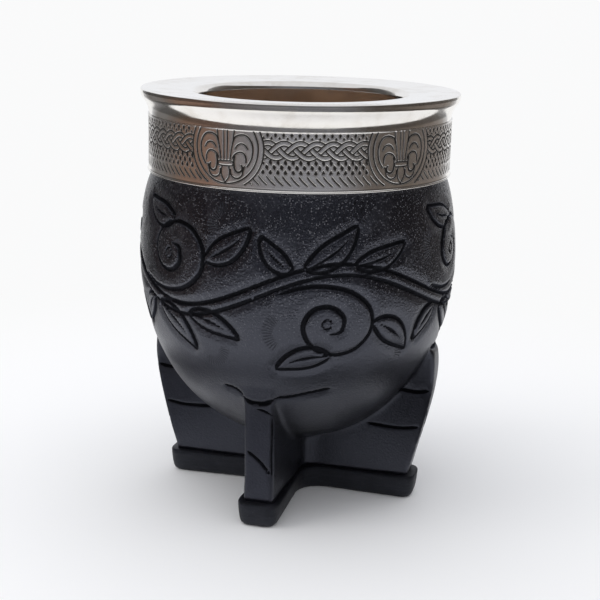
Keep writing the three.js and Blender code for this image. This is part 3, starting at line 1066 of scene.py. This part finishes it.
def leather_cover():
    skin = CoverSkin()
    shown = len(skin.levels)
    inner_levels = [BAND_TOP, BEAD_FOOT, *np.linspace(84, 26, 11), 22.5, 20, 18.4, 17.3, 15, 11, SOLE_TOP]
    body, reach = body_side(COVER_WALL), leg_reach_tables(COVER_WALL)
    inner = np.array([points_of(*level_outline(z, COVER_WALL, body, reach, 0.3).T, z) for z in inner_levels])
    rows = np.vstack([skin.grid, inner])
    index = np.arange(rows.shape[0] * COLUMNS).reshape(-1, COLUMNS)
    obj = mesh_piece("leather_cover_tooled", rows.reshape(-1, 3) * MM, quads(index, joined=(0, 1)))
    drawn_x = np.arange(COLUMNS) * AROUND / COLUMNS
    from_leg = ((np.arange(COLUMNS) + EIGHTH) % (2 * EIGHTH) - EIGHTH) * (AROUND / COLUMNS)
    corner = np.exp(-((np.abs(from_leg) - LEG_HALF) / 0.9) ** 2)
    rub = np.zeros(rows.shape[:2])
    rub[:shown] = corner[None] * (skin.levels < LEG_TOP - 2)[:, None]
    fan_count, fan_mask = veiner_marks(np.broadcast_to(drawn_x, rows.shape[:2]), rows[:, :, 2])
    fan_mask[shown:] = 0
    keep_values(obj, "FLOAT", rub=rub, veiner_count=fan_count, veiner_mask=fan_mask)
    carve(obj, tooled_lines(skin), COVER_LEATHER, 2.8)
    obj.data.shade_smooth()
    return obj, skin


cover, cover_skin = leather_cover()
hand_over(cover, "leather_cover")


# Back seam of the cover, sewn with short pulls of thread

def back_seam():
    spacing, slant, sunk = 2.6, 0.35, 0.12
    heights = np.arange(10.0, BEAD_FOOT - 1.5, spacing)
    middle = np.full(len(heights), AROUND / 2)
    place = cover_skin.at(middle, heights)
    along = cover_skin.at(middle + 1.0, heights + slant) - cover_skin.at(middle - 1.0, heights - slant)
    up = cover_skin.at(middle, heights + 0.5) - cover_skin.at(middle, heights - 0.5)
    out = unit(np.cross(along, up))
    obj = mesh_piece("back_seam_stitches", (place - out * sunk) * MM, [])
    keep_values(obj, "FLOAT_VECTOR", along=along, out=out)
    make_with(obj, STITCHED, {"Stitch size": (3.4 * MM, 0.75 * MM, 0.6 * MM), "Material": THREAD})
    obj.data.shade_smooth()
    return obj


hand_over(back_seam(), None)


# Sole: a four-armed plate with rounded toes, its wall drawn in towards the floor

SOLE_STEP = 0.45
SOLE_WALL = [    # how far in, and height
    (2.5, 0.0), (1.9, 0.03), (1.3, 0.22), (0.85, 0.65), (0.55, 1.3), (0.36, 2.2), (0.18, SOLE_TOP - 3.0),
    (0.05, SOLE_TOP - 1.5), (0.0, SOLE_TOP - 0.5), (0.12, SOLE_TOP - 0.2), (0.4, SOLE_TOP - 0.05), (0.9, SOLE_TOP),
    (3.0, SOLE_TOP),
]


def star_outline():
    arm, toe, crotch, corner = 4.9, 5.8, 7.0, 3.9

    def quarter(reach):
        return np.vstack([
            curve((arm, crotch + arm), (arm, arm), (crotch + arm, arm), steps=14),
            curve((reach - corner - 0.5, toe - 0.1), (reach, toe), (reach, toe - corner), steps=14),
            curve((reach, -toe + corner), (reach, -toe), (reach - corner - 0.5, -toe + 0.1), steps=14),
        ])

    def turn(k):
        return np.array([[math.cos(k), -math.sin(k)], [math.sin(k), math.cos(k)]])

    ring = np.vstack([quarter(sole_high[i % 2]) @ turn(i * math.pi / 2) for i in range(4)])[::-1]
    return even_steps(np.vstack([ring, ring[:1]]), SOLE_STEP)[:-1]


def sole():
    line = softened(star_outline() @ [1, 1j], SOLE_STEP, 0.5)
    ahead = np.roll(line, -1) - np.roll(line, 1)
    inward = 1j * ahead / np.abs(ahead)
    count = len(line)
    rows = []
    for inset, z in SOLE_WALL:
        moved = line + inward * inset
        rows.append(points_of(moved.real, moved.imag, z))
    flat = np.vstack(rows)
    side = (flat[:, 2] > 0.2) & (flat[:, 2] < SOLE_TOP - 0.05)
    flat[:, :2] *= 1 + (uneven(flat, 9.0, 0.006) * side)[:, None]
    index = np.arange(len(flat)).reshape(-1, count)
    faces = quads(index, joined=(1,)).tolist()
    low, high = len(flat), len(flat) + 1
    faces += [[low, b, a] for a, b in zip(index[0], np.roll(index[0], -1))]
    faces += [[high, a, b] for a, b in zip(index[-1], np.roll(index[-1], -1))]
    obj = mesh_piece("sole_plate_cut", np.vstack([flat, [[0, 0, 0], [0, 0, SOLE_TOP]]]) * MM, faces)
    obj.data.materials.append(SOLE_LEATHER)
    return close_up(obj, crease=50)


hand_over(sole(), "sole_plate")


# Solids that stay as they are and get a finish

def dress(node, material):
    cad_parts[node].data.materials.clear()
    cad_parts[node].data.materials.append(material)


for leg in ("right", "back", "left", "front"):
    dress("leg_core_" + leg, LEG_BOARD)
dress("pitch_bedding", PITCH)


# Floor, screens, lights and camera, in metres

def floor():
    """White paper that fades to plain white further off, where only a look or a reflection reaches it."""
    obj = mesh_piece("floor", [(-20, -20, 0), (20, -20, 0), (20, 20, 0), (-20, 20, 0)], [(0, 1, 2, 3)])
    material, place = new_finish("floor_paper")
    tree = material.node_tree
    shade = blend(cloud(place, 3.0, 2.0), (0.925, 0.925, 0.93), (0.935, 0.935, 0.935))
    paper = shaded(Base_Color=shade, Roughness=0.9)
    path = put("ShaderNodeLightPath", tree=tree)
    seen = calc("ADD", path["Is Camera Ray"] + path["Is Glossy Ray"], path["Is Transmission Ray"], clamp=True)
    far = ease(vector_calc("LENGTH", place), 0.055, 0.24)
    glow = put("ShaderNodeEmission", {"Color": (0.955, 0.957, 0.96, 1), "Strength": 1.0}, tree)
    both = put("ShaderNodeMixShader", {0: far * seen, 1: paper, 2: glow})
    put("ShaderNodeOutputMaterial", {"Surface": both})
    obj.data.materials.append(material)


# What the metal and the leather mirror in front: degrees round from the viewer, distance and colour
ROOM = np.array([
    (-140, 0.20, 0.7, 0.7, 0.7), (-126, 0.17, 0.22, 0.21, 0.2), (-110, 0.16, 0.2, 0.19, 0.18),
    (-98, 0.165, 0.17, 0.14, 0.12), (-88, 0.19, 0.22, 0.14, 0.10), (-62, 0.22, 0.26, 0.155, 0.11),
    (-46, 0.235, 0.24, 0.215, 0.21), (-10, 0.25, 0.32, 0.32, 0.34), (26, 0.25, 0.3, 0.3, 0.32),
    (48, 0.235, 0.125, 0.105, 0.09), (84, 0.20, 0.14, 0.115, 0.095), (112, 0.19, 0.22, 0.19, 0.17),
    (124, 0.19, 0.3, 0.28, 0.26), (138, 0.21, 0.7, 0.7, 0.7),
])
# What the metal and the leather mirror low down close round the front legs: degrees round from the viewer, distance
# and colour. Its dark stretches are painted shadow, standing for the cup's own shade on the floor near its legs; the
# light ones are the paper.
NEAR_FLOOR_SHADE = np.array([
    (-110, 0.052, 0.5, 0.5, 0.53), (-45, 0.052, 0.6, 0.6, 0.64), (-30, 0.052, 0.9, 0.9, 0.95),
    (-12, 0.052, 0.9, 0.9, 0.95), (-4, 0.052, 0.08, 0.08, 0.09), (40, 0.052, 0.06, 0.06, 0.07),
    (100, 0.052, 0.1, 0.1, 0.11),
])


def mirrored_screen(name, table, heights, shades):
    """A curved screen round the front that shows only in reflections, with a shade for each height."""
    columns = 91
    degrees = np.linspace(table[0, 0], table[-1, 0], columns)
    radius, *tint = [np.interp(degrees, table[:, 0], column) for column in table.T[1:]]
    turns = FRONT_TURN + np.radians(degrees)
    foot = points_of(radius * np.sin(turns), -radius * np.cos(turns), 0)
    index = np.arange(columns * len(heights)).reshape(-1, columns)
    obj = mesh_piece(name, np.vstack([foot + [0, 0, z] for z in heights]), quads(index))
    keep_values(obj, "FLOAT_VECTOR", tint=np.vstack([points_of(*tint) * shade for shade in shades]))
    material, place = new_finish(name + "_felt")
    obj.data.materials.append(finished(material, Base_Color=stored(place.tree, "tint", "Color"), Roughness=0.95))
    obj.visible_camera = obj.visible_diffuse = obj.visible_shadow = False


def softbox(name, place, target, size, power, colour=(1, 1, 1)):
    """A soft lamp that no surface mirrors."""
    lamp = bpy.data.lights.new(name, "AREA")
    lamp.shape = "RECTANGLE"
    lamp.size, lamp.size_y = size
    lamp.energy = power
    lamp.color = colour
    obj = link(bpy.data.objects.new(name, lamp))
    obj.location = place
    obj.rotation_euler = (Vector(target) - Vector(place)).to_track_quat("-Z", "Y").to_euler()
    obj.visible_glossy = False


def room_light():
    """Bright low down behind the cup, dimmer overhead and in front."""
    world = bpy.data.worlds.new("studio")
    world.use_nodes = True
    tree = world.node_tree
    tree.nodes.clear()
    where = put("ShaderNodeTexCoord", tree=tree)["Generated"]
    behind = vector_calc("DOT_PRODUCT", where, (-math.sin(FRONT_TURN), math.cos(FRONT_TURN), 0.0))
    low = blend(ease(behind, -0.6, 0.7), (0.7, 0.7, 0.72), (0.88, 0.895, 0.93))
    shade = blend(ease(xyz(where)["Z"], 0.15, 0.75), low, (0.74, 0.75, 0.78))
    glow = put("ShaderNodeBackground", {"Color": shade, "Strength": 1.0})
    put("ShaderNodeOutputWorld", {"Surface": glow})
    bpy.context.scene.world = world


def camera():
    away, eye_height, pitch, roll, sideways = 0.3501, 0.1427, 14.40, 1.25, 0.0010
    focal_pixels, picture_pixels = 1302, 600
    lens = bpy.data.cameras.new("camera")
    lens.sensor_width = 36
    lens.lens = lens.sensor_width * focal_pixels / picture_pixels
    obj = link(bpy.data.objects.new("camera", lens))
    out = Vector((math.sin(FRONT_TURN), -math.cos(FRONT_TURN), 0))
    right = Vector((math.cos(FRONT_TURN), math.sin(FRONT_TURN), 0))
    place = out * away + right * sideways + Vector((0, 0, eye_height))
    aim = (Matrix.Rotation(FRONT_TURN, 4, "Z") @ Matrix.Rotation(math.radians(90 - pitch), 4, "X")
           @ Matrix.Rotation(math.radians(roll), 4, "Z"))
    obj.matrix_world = Matrix.Translation(place) @ aim
    bpy.context.scene.camera = obj


floor()
mirrored_screen("room_screen", ROOM, (0.0, 0.05, 0.058, 0.085, 0.095, 0.3), (0.45, 0.45, 1.0, 1.0, 0.4, 0.4))
# Painted shadow: this screen puts the cup's shade on the near floor into reflections only
mirrored_screen("near_screen", NEAR_FLOOR_SHADE, (0.0, 0.027), (1.0, 1.0))
softbox("overhead", (-0.1, 0.1, 1.1), (0, 0, 0.05), (1.2, 1.2), 4.2)
softbox("left_front", (-0.75, -0.45, 0.62), (0, 0, 0.06), (0.5, 0.6), 2.0, (1.0, 0.985, 0.965))
room_light()
camera()
bpy.context.scene.view_settings.view_transform = "Standard"
